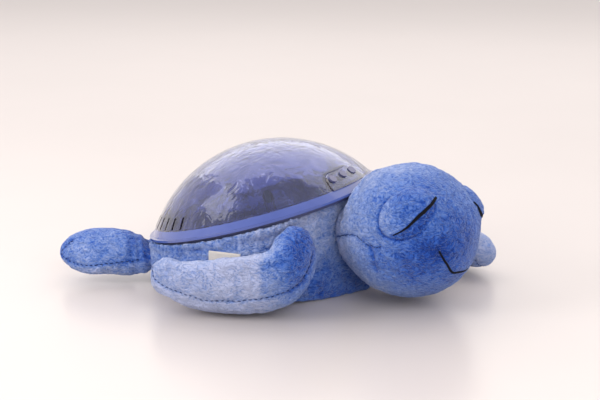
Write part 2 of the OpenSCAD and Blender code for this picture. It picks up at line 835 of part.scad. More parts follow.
// Belly flap: closes the opening level with the belly, held by a strip of hooks on a strip of loops
strip_w = 3.6;
strip_half_l = 18;
strip_inset = 1.6;
strip_x = opening_x - opening_half_l - flap_ledge + panel_gap + strip_inset;
module strip(z) {
    from_origin() translate([strip_x, -strip_half_l, z]) cube([strip_w, 2 * strip_half_l, strip_t]);
}
module belly_flap() {
    outline = around(function (a) flat(opening_pt(a, flap_ledge - 2 * panel_gap, 0)));
    color("cornflowerblue") from_origin() linear_extrude(height = flap_t) polygon(outline);
}
module hook_strip() {
    color("midnightblue") strip(flap_t);
}
module loop_strip() {
    color("midnightblue") strip(ledge_z - strip_t);
}

// Care label: a blank tab sewn in the side seam below the rim, on the right side
label_l = 26;
label_h = 9;
label_t = 0.5;
label_x = 10;
label_drop = 7.5;
module care_label() {
    low = seat_pt(-90).z - label_drop - label_h;
    color("antiquewhite") from_origin()
        translate([label_x - label_l / 2, -wall_reach(-90, low) - label_t, low])
            cube([label_l, label_t, label_h]);
}

// Head: an egg turned to the turtle's right and rolled to its left, flat at the neck seam
head_n = 36;
head_rings = 18;
head_end = 88;
head_roll = 11;
head_side = 1;
head_level = [sin(head_yaw), cos(head_yaw), 0];
head_left = head_level * cos(head_roll) - [0, 0, 1] * sin(head_roll);
head_up = head_level * sin(head_roll) + [0, 0, 1] * cos(head_roll);
neck_centre = neck_reach / cos(head_yaw);
head_c = [neck_centre, head_side, head_z] + head_fore * neck_l;
lid_dir = [0.66, 0.58, 0.48];
lid_swell = 4;
lid_spread = 16;
muzzle_dir = [0.96, 0, -0.28];
muzzle_swell = 5;
muzzle_spread = 26;
rim_room = 1;
rim_slope = 1.5;
function swell(d, dir, height, spread) =
    let (gap = norm(d - unit_of(dir)) * head_w / 2) height * exp(-pow(gap / spread, 2));
function to_shell(p) = let (z = p.z - shell_z)
    [p.x * cos(shell_pitch) + z * sin(shell_pitch), p.y, z * cos(shell_pitch) - p.x * sin(shell_pitch)];
function past_neck(p) = p + head_fore * max(neck_reach + soft_gap - p * head_fore, 0);
function clear_of_rim(p) =
    let (q = to_shell(p), r = norm(flat(q)),
        need = rim_r + band_lip + soft_gap + rim_room - rim_slope * max(-seat_drop - rim_room - q.z, 0))
    r < need ? shell_pt([q.x * need / r, q.y * need / r, q.z]) : p;
function head_pt(u, v) =
    let (d = [sin(u), cos(u) * cos(v), cos(u) * sin(v)],
        grow = swell(d, lid_dir, lid_swell, lid_spread)
            + swell(d, [lid_dir.x, -lid_dir.y, lid_dir.z], lid_swell, lid_spread)
            + swell(d, muzzle_dir, muzzle_swell, muzzle_spread),
        top = head_h / 2 * (1 - (d.z > 0 ? nape_fall * max(-d.x, 0) : 0)),
        p = head_c + head_fore * d.x * ((d.x < 0 ? head_back : head_front) + grow)
            + head_left * d.y * (head_w / 2 + grow) + head_up * d.z * (top + grow))
    clear_of_rim(past_neck(p));
module head() {
    rings = [for (j = [0 : head_rings])
        let (u = head_end * (2 * j / head_rings - 1))
        [for (i = [0 : head_n - 1]) head_pt(u, ring_angle(i, head_n))]];
    color("cornflowerblue") from_origin() closed_skin(rings, centre_of(rings[0]));
}

// Flippers: leaf-shaped pads swept along a spine round the body.
// A station holds the angle round the shell, the distance out from the body, the height,
// the half width as a share of the widest and the half thickness as a share of the thickest.
limb_n = 20;
limb_rings = 18;
limb_step = 0.9;
hug_gap = 0.2;
right_fore = [[-59, 5, 67, 0.3, 0.3], [-56.5, 8, 61, 0.66, 0.62], [-55.5, 13, 49.5, 0.82, 0.86],
    [-59.5, 16, 36.5, 0.94, 1], [-69, 14.5, 28, 0.98, 1], [-83, 14.5, 24.5, 0.88, 0.96],
    [-97, 17, 24, 0.76, 0.9], [-108, 20, 24, 0.52, 0.65], [-112, 22, 24, 0.16, 0.2]];
left_fore = [[48, 6, 42, 0.74, 0.62], [42, 16, 34, 0.95, 0.9], [36, 31, 27.5, 0.95, 1],
    [29, 50, 23, 0.88, 1], [24, 67, 21.5, 0.84, 0.95], [20, 81, 21.5, 0.66, 0.8], [18.4, 89, 21.5, 0.2, 0.25]];
hind = [[150, -6, 22.5, 0.7, 0.6], [151, 16, 24, 0.9, 0.98], [152, 36, 24, 1, 1],
    [153.5, 51, 24, 0.86, 0.9], [154.5, 63, 24, 0.5, 0.6], [155, 67, 24, 0.16, 0.2]];
function mirrored(stations) = [for (s = stations) [-s[0], s[1], s[2], s[3], s[4]]];
function swung(stations, by) = [for (s = stations) [s[0] - by, s[1], s[2], s[3], s[4]]];
function spline(p, t) =
    let (n = len(p), k = max(0, min(floor(t), n - 2)), u = t - k,
        a = p[max(k - 1, 0)], b = p[k], c = p[k + 1], d = p[min(k + 2, n - 1)])
    (2 * b + (c - a) * u + (2 * a - 5 * b + 4 * c - d) * u * u + (3 * b - a - 3 * c + d) * u * u * u) / 2;
function spine_pt(s) = [(body_r + s[1]) * cos(s[0]), (body_r + s[1]) * sin(s[0]), s[2]];
function off_body(p) = let (r = norm(flat(p)),
        least = wall_reach(atan2(p.y, p.x), p.z) + soft_gap + hug_gap)
    r < least ? [p.x * least / r, p.y * least / r, max(p.z, 0)] : [p.x, p.y, max(p.z, 0)];
function turned(v, axis, angle) = v * cos(angle) + cross(axis, v) * sin(angle);
function limb_ring(stations, t, half_w, half_t, lean, wrapped) =
    let (s = spline(stations, t), c = spine_pt(s),
        ahead = spine_pt(spline(stations, min(t + limb_step, len(stations) - 1))),
        behind = spine_pt(spline(stations, max(t - limb_step, 0))),
        along = unit_of(ahead - behind),
        upright = wrapped ? cross(along, [c.x, c.y, 0]) : [0, 0, 1] - along * along.z,
        wide = turned(unit_of(upright), along, lean),
        thick = cross(along, wide))
    [for (i = [0 : limb_n - 1]) let (a = ring_angle(i, limb_n))
        off_body(c + wide * half_w * s[3] * cos(a) + thick * half_t * s[4] * sin(a))];
module limb(stations, half_w, half_t, lean, wrapped = false) {
    last = len(stations) - 1;
    rings = [for (j = [0 : limb_rings])
        limb_ring(stations, last * j / limb_rings, half_w, half_t, lean, wrapped)];
    from_origin() closed_skin(rings, off_body(centre_of(rings[0])));
}
fore_lean = 24;
flat_lean = 62;
raised_lean = 50;
module right_front_flipper() {
    color("cornflowerblue") limb(right_fore, fore_half_w, fore_half_t, -fore_lean, true);
}
module left_front_flipper() {
    color("cornflowerblue") limb(left_fore, fore_half_w, fore_half_t, raised_lean);
}
module right_rear_flipper() {
    color("cornflowerblue") limb(mirrored(hind), hind_half_w, hind_half_t, flat_lean);
}
module left_rear_flipper() {
    color("cornflowerblue") limb(swung(hind, hind_sweep), hind_half_w, hind_half_t, -flat_lean);
}

torso();
head();
right_front_flipper();
left_front_flipper();
right_rear_flipper();
left_rear_flipper();
belly_flap();
hook_strip();
loop_strip();
care_label();
dome_shell();
rim_band();
control_panel();
light_button();
sound_button();
volume_button();
key_board();
key_switches();
key_screws();
base_tray();
case_screws();
battery_door();
door_screw();
battery_cells();
battery_contacts();
main_board();
board_screws();
sound_chip();
lamp_board();
lamp();
reflector();
ripple_disc();
spindle();
spindle_clip();
motor();
motor_shaft();
pinion();
motor_bracket();
bracket_screws();
lens_holder();
projector_lens();
speaker();
speaker_cone();
speaker_ring();
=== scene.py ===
"""Looks of the plush turtle night light, in the part's own frame, in metres."""

import json
import math

import bmesh
import bpy
import numpy as np
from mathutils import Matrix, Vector
from mathutils.bvhtree import BVHTree
from mathutils.kdtree import KDTree


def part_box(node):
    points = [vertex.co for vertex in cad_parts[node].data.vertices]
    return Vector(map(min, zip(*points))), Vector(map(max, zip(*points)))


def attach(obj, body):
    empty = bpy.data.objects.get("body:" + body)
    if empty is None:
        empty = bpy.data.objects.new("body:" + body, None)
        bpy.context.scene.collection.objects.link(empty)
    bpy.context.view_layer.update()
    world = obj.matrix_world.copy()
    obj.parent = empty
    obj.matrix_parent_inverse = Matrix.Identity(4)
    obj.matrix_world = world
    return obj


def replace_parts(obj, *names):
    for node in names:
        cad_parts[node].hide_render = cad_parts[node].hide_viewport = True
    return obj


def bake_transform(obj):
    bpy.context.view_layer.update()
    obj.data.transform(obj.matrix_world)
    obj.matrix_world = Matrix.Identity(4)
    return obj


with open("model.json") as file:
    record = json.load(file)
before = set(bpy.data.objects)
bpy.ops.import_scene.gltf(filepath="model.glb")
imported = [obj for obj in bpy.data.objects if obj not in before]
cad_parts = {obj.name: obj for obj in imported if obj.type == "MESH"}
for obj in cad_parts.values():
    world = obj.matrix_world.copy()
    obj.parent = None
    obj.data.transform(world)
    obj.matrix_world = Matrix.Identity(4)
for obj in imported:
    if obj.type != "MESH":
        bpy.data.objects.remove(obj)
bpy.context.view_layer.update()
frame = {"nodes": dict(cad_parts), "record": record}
nodes = frame["nodes"]
scene = bpy.context.scene
MM = 0.001
CLOTH_STEPS = 20
SHELL_MIDDLE = (36, 0, 58)
SHELL_TILT = math.radians(16.4)
SHELL_AXIS = (-math.sin(SHELL_TILT), 0, math.cos(SHELL_TILT))


# Numbers on meshes

def coords(mesh):
    """The vertices of a mesh as an array."""
    flat = np.empty(len(mesh.vertices) * 3, np.float32)
    mesh.vertices.foreach_get("co", flat)
    return flat.reshape(-1, 3).astype(float)


def put_coords(mesh, points):
    """Writes the array back to the mesh."""
    mesh.vertices.foreach_set("co", points.astype(np.float32).ravel())
    mesh.update()


def vertex_normals(mesh):
    """The vertex normals of a mesh as an array."""
    flat = np.empty(len(mesh.vertices) * 3, np.float32)
    mesh.vertex_normals.foreach_get("vector", flat)
    return flat.reshape(-1, 3).astype(float)


def edge_ends(mesh):
    """The two vertex numbers of every edge."""
    flat = np.empty(len(mesh.edges) * 2, np.int32)
    mesh.edges.foreach_get("vertices", flat)
    return flat.reshape(-1, 2)


def noise(points, size, seed):
    """Smooth seeded value noise from -1 to 1, with lumps of that size."""
    table = np.random.default_rng(seed).uniform(-1, 1, 8192)
    spot = points / size + 512.0
    cell = np.floor(spot).astype(np.int64)
    part = spot - cell
    part = part * part * (3 - 2 * part)
    total = np.zeros(len(points))
    for corner in range(8):
        step = np.array([corner & 1, corner >> 1 & 1, corner >> 2 & 1])
        key = (cell + step) * np.array([73856093, 19349663, 83492791])
        key = (key[:, 0] ^ key[:, 1] ^ key[:, 2]) % 8192
        weight = np.where(step, part, 1 - part).prod(1)
        total += table[key] * weight
    return total


def soft_step(value, low, high):
    """0 below low, 1 above high, smooth between."""
    t = np.clip((value - low) / (high - low), 0, 1)
    return t * t * (3 - 2 * t)


def rounded_path(points, step=0.8):
    """A smooth line through points in mm, as dense points in metres."""
    p = np.array(points, float)
    p = np.vstack([2 * p[0] - p[1], p, 2 * p[-1] - p[-2]])
    out = []
    for i in range(1, len(p) - 2):
        count = max(2, int(np.linalg.norm(p[i + 1] - p[i]) / step))
        t = np.linspace(0, 1, count, endpoint=False)[:, None]
        a, b, c, d = p[i - 1], p[i], p[i + 1], p[i + 2]
        out.append(
            0.5 * (2 * b + (c - a) * t + (2 * a - 5 * b + 4 * c - d) * t ** 2
                   + (3 * b - a - 3 * c + d) * t ** 3))
    return np.vstack(out + [p[-2:-1]]) * MM


def tree_of(objects):
    """A search tree over the faces of some meshes."""
    points, faces = [], []
    for ob in objects:
        start = len(points)
        points += [v.co.copy() for v in ob.data.vertices]
        faces += [[start + i for i in f.vertices] for f in ob.data.polygons]
    return BVHTree.FromPolygons(points, faces)


def gap_to(tree, points, reach):
    """Distance of each point to the faces in a tree, at most reach."""
    out = np.full(len(points), reach)
    for i, p in enumerate(points):
        hit = tree.find_nearest(Vector(p), reach)
        if hit[0] is not None:
            out[i] = hit[3]
    return out


def laid_on(tree, points):
    """Points moved on to a surface, and the surface's normals there."""
    hits = [tree.find_nearest(Vector(p)) for p in points]
    return np.array([h[0] for h in hits]), np.array([h[1] for h in hits])


def far_side(tree, point, away):
    """Where a line into a piece at point, against away, comes out again."""
    start = Vector(point) - Vector(away) * 2 * MM
    hit = tree.ray_cast(start, -Vector(away))
    return np.array(hit[0]) if hit[0] is not None else np.array(point)


def line_gap(line, points):
    """Distance of each point to a dense line, and the nearest line point's number."""
    kd = KDTree(len(line))
    for i, p in enumerate(line):
        kd.insert(p, i)
    kd.balance()
    found = [kd.find(p) for p in points]
    return np.array([f[2] for f in found]), np.array([f[1] for f in found])


# Soft covers

def welded(node, name):
    """A new object with a node's shape and its corners welded."""
    mesh = bpy.data.meshes.new(name)
    bm = bmesh.new()
    bm.from_mesh(nodes[node].data)
    bmesh.ops.remove_doubles(bm, verts=bm.verts, dist=1e-6)
    bmesh.ops.recalc_face_normals(bm, faces=bm.faces)
    bm.to_mesh(mesh)
    bm.free()
    ob = bpy.data.objects.new(name, mesh)
    scene.collection.objects.link(ob)
    return ob


def bake(ob):
    """Replaces the mesh by what the modifiers make of it."""
    bpy.context.view_layer.update()
    graph = bpy.context.evaluated_depsgraph_get()
    mesh = bpy.data.meshes.new_from_object(ob.evaluated_get(graph))
    mesh.name = ob.name
    ob.modifiers.clear()
    old = ob.data
    ob.data = mesh
    bpy.data.meshes.remove(old)


def remesh(ob, size):
    """Even quads of that size."""
    mod = ob.modifiers.new("even", "REMESH")
    mod.mode = "VOXEL"
    mod.voxel_size = size
    mod.use_smooth_shade = True
    bake(ob)


def subdivide(ob, levels):
    """Rounds the mesh with finer quads."""
    mod = ob.modifiers.new("fine", "SUBSURF")
    mod.levels = levels
    mod.render_levels = levels
    bake(ob)


def relax(ob, rounds):
    """Evens out steps without losing volume."""
    mesh = ob.data
    ends = edge_ends(mesh)
    points = coords(mesh)
    both = np.concatenate([ends, ends[:, ::-1]])
    count = np.bincount(both[:, 0], minlength=len(points))[:, None]
    for turn in range(2 * rounds):
        mean = np.stack(
            [np.bincount(both[:, 0], points[both[:, 1], k], len(points)) for k in range(3)], 1)
        points = points + (-0.53 if turn % 2 else 0.5) * (mean / count - points)
    put_coords(mesh, points)


def plump(ob, pins, pressure, cap):
    """Swells a sewn cover by cloth pressure. Pinned points stay, no point moves past cap."""
    start = coords(ob.data)
    group = ob.vertex_groups.new(name="sewn")
    for i, weight in enumerate(pins):
        if weight > 0.01:
            group.add([i], float(weight), "REPLACE")
    cloth = ob.modifiers.new("cover", "CLOTH")
    cloth.settings.quality = 5
    cloth.settings.mass = 0.2
    cloth.settings.tension_stiffness = 12
    cloth.settings.compression_stiffness = 12
    cloth.settings.bending_stiffness = 0.4
    cloth.settings.shrink_min = -0.04
    cloth.settings.use_pressure = True
    cloth.settings.uniform_pressure_force = pressure
    cloth.settings.vertex_group_mass = "sewn"
    cloth.settings.effector_weights.gravity = 0
    cloth.collision_settings.use_collision = False
    for step in range(1, CLOTH_STEPS + 1):
        scene.frame_set(step)
    bake(ob)
    scene.frame_set(1)
    move = coords(ob.data) - start
    far = np.linalg.norm(move, axis=1)[:, None]
    put_coords(ob.data, start + move * np.minimum(1, cap / np.maximum(far, 1e-9)))
    ob.vertex_groups.clear()


def held_in(ob, node, free, proud):
    """Keeps a cover inside its solid beside other pieces, and at most proud of it where it is free."""
    own = tree_of([nodes[node]])
    points = coords(ob.data)
    for i, p in enumerate(points):
        spot, face_normal = own.find_nearest(Vector(p))[:2]
        outside = (Vector(p) - spot).dot(face_normal)
        most = proud * free[i] - 0.25 * MM * (1 - free[i])
        if outside <= most:
            continue
        if most > 0:
            points[i] = spot + (Vector(p) - spot).normalized() * most
        else:
            points[i] = Vector(p) - face_normal * (outside - most)
    put_coords(ob.data, points)


def cover(node, name, voxel, levels, inset, pressure, cap, seams=(), proud=1.5 * MM):
    """A stuffed cover from a node: even mesh, swollen between its seams, then made fine."""
    ob = welded(node, name)
    remesh(ob, voxel)
    relax(ob, 5)
    others = tree_of([o for n, o in nodes.items() if n != node])
    gap = gap_to(others, coords(ob.data), 14 * MM)
    free = soft_step(gap, 3 * MM, 10 * MM)
    free *= soft_step(coords(ob.data)[:, 2], 1 * MM, 4 * MM)
    points = coords(ob.data) - vertex_normals(ob.data) * (inset * free)[:, None]
    put_coords(ob.data, points)
    pins = 1 - free
    for line in seams:
        pins = np.maximum(pins, 0.5 * np.exp(-(line_gap(line, points)[0] / (0.8 * voxel)) ** 2))
    plump(ob, pins, pressure, cap)
    gap = gap_to(others, coords(ob.data), 14 * MM)
    held_in(ob, node, soft_step(gap, 2 * MM, 7 * MM), proud)
    subdivide(ob, levels)
    return ob


class Nap:
    """The fine surface of a cover while seams, pads, pile, tone that differs at random, and painted
    light and shade are worked in.
    """

    def __init__(self, ob, seed):
        self.ob = ob
        self.seed = seed
        self.points = coords(ob.data)
        self.normals = vertex_normals(ob.data)
        self.rise = np.zeros(len(self.points))
        self.tone = np.zeros(len(self.points))
        self.tuft = np.ones(len(self.points))
        self.clump = np.zeros(len(self.points))
        self.floor = self.points[:, 2].min()

    def groove(self, line, width, depth, dark):
        """A sewn crease along a line, with painted shade: the tone is darkened by dark in the crease.
        """
        far, spot = line_gap(line, self.points)
        pull = 0.85 + 0.15 * np.sin(spot * 1.4)
        shape = np.exp(-(far / width) ** 2)
        self.rise -= depth * pull * shape
        # Painted shade in the crease.
        self.tone -= dark * np.exp(-(far / (1.3 * width)) ** 2)
        self.tuft *= 1 - 0.6 * shape

    def pile(self, height):
        """Swirling tufts of short pile, and cloudy light and dark."""
        p, s = self.points, self.seed
        swirl = np.stack([noise(p, 9 * MM, s + i) for i in range(3)], 1) * 3 * MM
        q = p + swirl
        clump = 0.6 * noise(q, 2.3 * MM, s + 4) + 0.5 * noise(q, 5 * MM, s + 5)
        self.rise += height * clump * self.tuft
        self.clump = clump * self.tuft
        self.tone += 0.16 * noise(p, 38 * MM, s + 6) + 0.10 * noise(p + 2 * swirl, 15 * MM, s + 7)

    def finish(self):
        """Writes the surface and its light and dark to the mesh."""
        points = self.points + self.normals * self.rise[:, None]
        points[:, 2] = np.maximum(points[:, 2], self.floor)
        put_coords(self.ob.data, points)
        for name, values in (("tone", self.tone), ("clump", self.clump)):
            layer = self.ob.data.attributes.new(name, "FLOAT", "POINT")
            layer.data.foreach_set("value", values.astype(np.float32))
        self.ob.data.shade_smooth()


# Thread

def sweep(bm, path, up, half_w, half_h, sides):
    """An oval bead along a path, with up as its top side."""
    along = np.gradient(path, axis=0)
    along /= np.linalg.norm(along, axis=1)[:, None]
    across = np.cross(along, up)
    across /= np.maximum(np.linalg.norm(across, axis=1)[:, None], 1e-9)
    over = np.cross(across, along)
    rings = []
    for i, p in enumerate(path):
        turn = np.linspace(0, 2 * math.pi, sides, endpoint=False)
        ring = (p + across[i] * (half_w[i] * np.cos(turn))[:, None]
                + over[i] * (half_h[i] * np.sin(turn))[:, None])
        rings.append([bm.verts.new(q) for q in ring])
    for a, b in zip(rings, rings[1:]):
        for i in range(sides):
            j = (i + 1) % sides
            bm.faces.new((a[i], a[j], b[j], b[i]))
    bm.faces.new(rings[0][::-1])
    bm.faces.new(rings[-1])


def joined(ob, body):
    """Moves a piece with one body; with two given as (body, body, start, end), it only bakes the
    piece's place into its mesh.
    """
    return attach(ob, body) if isinstance(body, str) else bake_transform(ob)


def made(name, bm, body, look):
    """Turns a bmesh into a piece that rides on a body, or stays where it is when two are given."""
    bmesh.ops.recalc_face_normals(bm, faces=bm.faces)
    mesh = bpy.data.meshes.new(name)
    bm.to_mesh(mesh)
    bm.free()
    mesh.shade_smooth()
    mesh.materials.append(look)
    ob = bpy.data.objects.new(name, mesh)
    scene.collection.objects.link(ob)
    return joined(ob, body)


def stitches(name, surface, line, body, look, dash=2.4 * MM, pitch=4.2 * MM, width=0.36 * MM):
    """A run of separate stitches along a line, laid in the cover."""
    tree = tree_of([surface])
    bm = bmesh.new()
    steps = np.linalg.norm(np.diff(line, axis=0), axis=1)
    length = np.concatenate([[0], np.cumsum(steps)])
    for start in np.arange(pitch / 2, length[-1] - dash, pitch):
        where = np.linspace(start, start + dash, 6)
        path = np.stack([np.interp(where, length, line[:, k]) for k in range(3)], 1)
        path, up = laid_on(tree, path)
        arch = np.sin(np.linspace(0, math.pi, 6))
        path = path + up * ((0.35 * arch - 0.15) * MM)[:, None]
        size = width * np.array([0.55, 0.9, 1, 1, 0.9, 0.55])
        sweep(bm, path, up, size, 0.8 * size, 6)
    made(name, bm, body, look)


def satin(name, surface, line, width, body, look):
    """An embroidered line: close threads side by side, tapering to its ends."""
    lift = 0.5 * MM
    tree = tree_of([surface])
    path, up = laid_on(tree, line)
    for _ in range(60):
        path[1:-1] = (path[:-2] + 2 * path[1:-1] + path[2:]) / 4
        up[1:-1] = (up[:-2] + 2 * up[1:-1] + up[2:]) / 4
    up /= np.linalg.norm(up, axis=1)[:, None]
    t = np.linspace(0, 1, len(path))
    rib = 1 + 0.06 * np.cos(np.arange(len(path)) * math.pi)
    half = width(t)
    height = lift * np.sqrt(half / half.max())
    bm = bmesh.new()
    sweep(bm, path + up * lift * 0.3, up, half * rib, height * rib, 12)
    made(name, bm, body, look)


# Materials

def new_look(name):
    """An empty material with its shader."""
    mat = bpy.data.materials.new(name)
    mat.use_nodes = True
    return mat, mat.node_tree, mat.node_tree.nodes["Principled BSDF"]


def add(tree, kind, **values):
    """A shader node with its settings; names with a capital are input sockets."""
    made_node = tree.nodes.new("ShaderNode" + kind)
    for key, value in values.items():
        if key[0].isupper():
            made_node.inputs[key.replace("_", " ")].default_value = value
        else:
            setattr(made_node, key, value)
    return made_node


def fixed(shader, **values):
    """Sets inputs of a shader that don't vary."""
    for key, value in values.items():
        shader.inputs[key.replace("_", " ")].default_value = value


def colours(tree, source, shader, stops):
    """Colours a shader by a ramp that is fed by source."""
    made_node = tree.nodes.new("ShaderNodeValToRGB")
    band = made_node.color_ramp
    while len(band.elements) < len(stops):
        band.elements.new(0.5)
    for element, (position, colour) in zip(band.elements, stops):
        element.position = position
        element.color = (*colour, 1)
    tree.links.new(source, made_node.inputs["Fac"])
    tree.links.new(made_node.outputs["Color"], shader.inputs["Base Color"])


def place(tree):
    """The piece's own coordinates."""
    return tree.nodes.new("ShaderNodeTexCoord").outputs["Object"]


def stretched(tree, spot, scale, turn=(0, 0, 0)):
    """Coordinates turned and scaled, so that a texture is drawn out."""
    made_node = add(tree, "Mapping", Scale=scale, Rotation=turn)
    tree.links.new(spot, made_node.inputs["Vector"])
    return made_node.outputs["Vector"]


def grain(tree, spot, scale, detail=3.0, rough=0.6, bend=0.0):
    """A noise of that scale, in lumps a metre."""
    made_node = add(tree, "TexNoise", Scale=scale, Detail=detail, Roughness=rough, Distortion=bend)
    tree.links.new(spot, made_node.inputs["Vector"])
    return made_node.outputs["Fac"]


def waves(tree, spot, scale, bend, detail, way):
    """Even bands of that scale, which run one way."""
    made_node = add(
        tree, "TexWave", Scale=scale, Distortion=bend, Detail=detail, bands_direction=way)
    tree.links.new(spot, made_node.inputs["Vector"])
    return made_node.outputs["Fac"]


def spread(tree, source, low, high, start=0.0, end=1.0):
    """A value from start to end brought to low to high."""
    made_node = add(tree, "MapRange", From_Min=start, From_Max=end, To_Min=low, To_Max=high)
    tree.links.new(source, made_node.inputs["Value"])
    return made_node.outputs["Result"]


def worked(tree, kind, operation, *values):
    """The result of a maths node on sources and fixed values."""
    made_node = add(tree, kind, operation=operation)
    for socket, value in zip(made_node.inputs, values):
        if isinstance(value, bpy.types.NodeSocket):
            tree.links.new(value, socket)
        else:
            socket.default_value = value
    plain = kind == "Math" or operation == "DOT_PRODUCT"
    return made_node.outputs["Value" if plain else "Vector"]


def total(tree, *sources):
    """The sum of varying values."""
    out = sources[0]
    for source in sources[1:]:
        out = worked(tree, "Math", "ADD", out, source)
    return out


def relief(tree, source, shader, distance, strength=1.0):
    """A bump of that depth."""
    made_node = add(tree, "Bump", Strength=strength, Distance=distance)
    tree.links.new(source, made_node.inputs["Height"])
    tree.links.new(made_node.outputs["Normal"], shader.inputs["Normal"])


PLUSH_STOPS = [
    (0.00, (0.006, 0.024, 0.150)),
    (0.18, (0.011, 0.046, 0.275)),
    (0.36, (0.036, 0.104, 0.420)),
    (0.54, (0.100, 0.188, 0.500)),
    (0.72, (0.215, 0.295, 0.570)),
    (0.88, (0.325, 0.385, 0.620)),
    (1.00, (0.400, 0.445, 0.655)),
]


def plush_look():
    """Short pile: wavy strokes and tufts, cloudy light and dark, light where seen edge-on."""
    mat, tree, shader = new_look("plush_pile")
    spot = place(tree)
    tone = add(tree, "Attribute", attribute_name="tone").outputs["Fac"]
    clump = add(tree, "Attribute", attribute_name="clump").outputs["Fac"]
    lie = add(tree, "TexNoise", Scale=150.0, Detail=1.0)
    tree.links.new(spot, lie.inputs["Vector"])
    lean = worked(
        tree, "VectorMath", "MULTIPLY_ADD", lie.outputs["Color"], (0.007, 0.007, 0.007), spot)
    combed = stretched(tree, lean, (0.42, 0.42, 1))
    stroke = grain(tree, combed, 760, 2, 0.6, 0.3)
    ridge = spread(tree, grain(tree, combed, 560, 1, 0.5, 0.5), -0.5, 0.5)
    open_pile = spread(tree, worked(tree, "Math", "ABSOLUTE", ridge), 0, 1, 0, 0.07)
    tuft = grain(tree, lean, 420, 2, 0.6, 0.4)
    hair = grain(tree, spot, 2200, 2, 0.7)
    shade = total(
        tree, tone,
        spread(tree, clump, -0.02, 0.12),
        spread(tree, open_pile, -0.17, 0.03),
        spread(tree, tuft, -0.20, 0.20),
        spread(tree, stroke, -0.25, 0.25),
        spread(tree, hair, -0.17, 0.17))
    colours(tree, shade, shader, PLUSH_STOPS)
    fixed(shader, Roughness=0.95, Specular_IOR_Level=0.1, Sheen_Weight=0.5, Sheen_Roughness=0.34,
          Sheen_Tint=(0.72, 0.80, 1, 1))
    height = total(
        tree, tuft, stroke, spread(tree, open_pile, 0, 0.6), spread(tree, hair, 0, 0.5))
    relief(tree, height, shader, 0.9 * MM, 0.9)
    return mat


def thread_look(name, dark, light):
    """Twisted thread."""
    mat, tree, shader = new_look(name)
    twist = waves(tree, place(tree), 520, 2.5, 2.0, "DIAGONAL")
    colours(tree, twist, shader, [(0, dark), (1, light)])
    fixed(shader, Roughness=0.75, Specular_IOR_Level=0.2)
    relief(tree, twist, shader, 0.15 * MM)
    return mat


def moulded_look(name, dark, light, rough, coat=0.0, depth=0.03):
    """Moulded plastic: faint colour flow, handling sheen and surface grain."""
    mat, tree, shader = new_look(name)
    spot = place(tree)
    flow = grain(tree, spot, 28, 3, 0.55, 0.6)
    skin = grain(tree, spot, 900, 2, 0.6)
    colours(tree, flow, shader, [(0.3, dark), (0.7, light)])
    wear = total(
        tree, spread(tree, flow, rough * 0.75, rough * 1.15), spread(tree, skin, -0.03, 0.03))
    tree.links.new(wear, shader.inputs["Roughness"])
    fixed(shader, Coat_Weight=coat, Coat_Roughness=0.06)
    relief(tree, skin, shader, depth * MM)
    return mat


def metal_look(name, dark, light, rough):
    """Plated metal with fine drawn lines."""
    mat, tree, shader = new_look(name)
    drawn = grain(tree, stretched(tree, place(tree), (1, 1, 12)), 300, 4, 0.7)
    colours(tree, drawn, shader, [(0.3, dark), (0.7, light)])
    fixed(shader, Metallic=1)
    tree.links.new(spread(tree, drawn, rough * 0.7, rough * 1.4), shader.inputs["Roughness"])
    relief(tree, drawn, shader, 0.02 * MM)
    return mat


def cut_edge_shade(tree, spot):
    """1 on faces that look round the shell's axis, as the sides of slots and bosses do, else 0: the
    mask of painted shade on those sides.
    """
    from_middle = worked(tree, "VectorMath", "SUBTRACT", spot, Vector(SHELL_MIDDLE) * MM)
    around = worked(tree, "VectorMath", "CROSS_PRODUCT", from_middle, SHELL_AXIS)
    across = worked(tree, "VectorMath", "NORMALIZE", around)
    normal = tree.nodes.new("ShaderNodeNewGeometry").outputs["True Normal"]
    edgewise = worked(tree, "VectorMath", "DOT_PRODUCT", across, normal)
    return spread(tree, worked(tree, "Math", "ABSOLUTE", edgewise), 0, 1, 0.45, 0.65)


def dome_look():
    """Clear tinted dome with flowing ripples moulded in it, and painted shade on the edges of cuts and
    bosses, near black and not clear there.
    """
    mat, tree, shader = new_look("tinted_dome")
    spot = place(tree)
    flow = grain(tree, spot, 36, 2, 0.5, 1.2)
    ripple = grain(tree, stretched(tree, spot, (1, 1, 0.3), (0.3, 0.9, 0.2)), 82, 1, 0.4, 1.6)
    edge_shade = cut_edge_shade(tree, spot)
    # Painted shade: near black and without transmission on the sides of slots and bosses.
    shade = total(tree, spread(tree, flow, 0, 0.4), spread(tree, edge_shade, 0, 0.6))
    colours(tree, shade, shader, [
        (0.12, (0.15, 0.19, 0.50)), (0.30, (0.35, 0.41, 0.81)), (0.58, (0.030, 0.022, 0.030))])
    tree.links.new(spread(tree, flow, 0.03, 0.09), shader.inputs["Roughness"])
    tree.links.new(spread(tree, edge_shade, 0.93, 0), shader.inputs["Transmission Weight"])
    fixed(shader, IOR=1.46, Specular_IOR_Level=0.8, Coat_Weight=0.6, Coat_Roughness=0.03)
    along = add(tree, "SeparateXYZ")
    tree.links.new(spot, along.inputs["Vector"])
    strength = spread(tree, along.outputs["X"], 1.3, 0.4, -0.03, 0.09)
    swell = worked(tree, "Math", "MULTIPLY", ripple, strength)
    relief(tree, total(tree, swell, spread(tree, flow, 0, 0.9)), shader, 1.6 * MM, 0.45)
    bump = shader.inputs["Normal"].links[0].from_socket
    tree.links.new(bump, shader.inputs["Coat Normal"])
    return mat


def clear_look(name, dark, light):
    """Clear moulded plastic with flow lines."""
    mat, tree, shader = new_look(name)
    flow = grain(tree, place(tree), 60, 3, 0.5, 1.0)
    colours(tree, flow, shader, [(0.3, dark), (0.7, light)])
    tree.links.new(spread(tree, flow, 0.04, 0.12), shader.inputs["Roughness"])
    fixed(shader, Transmission_Weight=0.85, IOR=1.49)
    relief(tree, flow, shader, 0.1 * MM)
    return mat


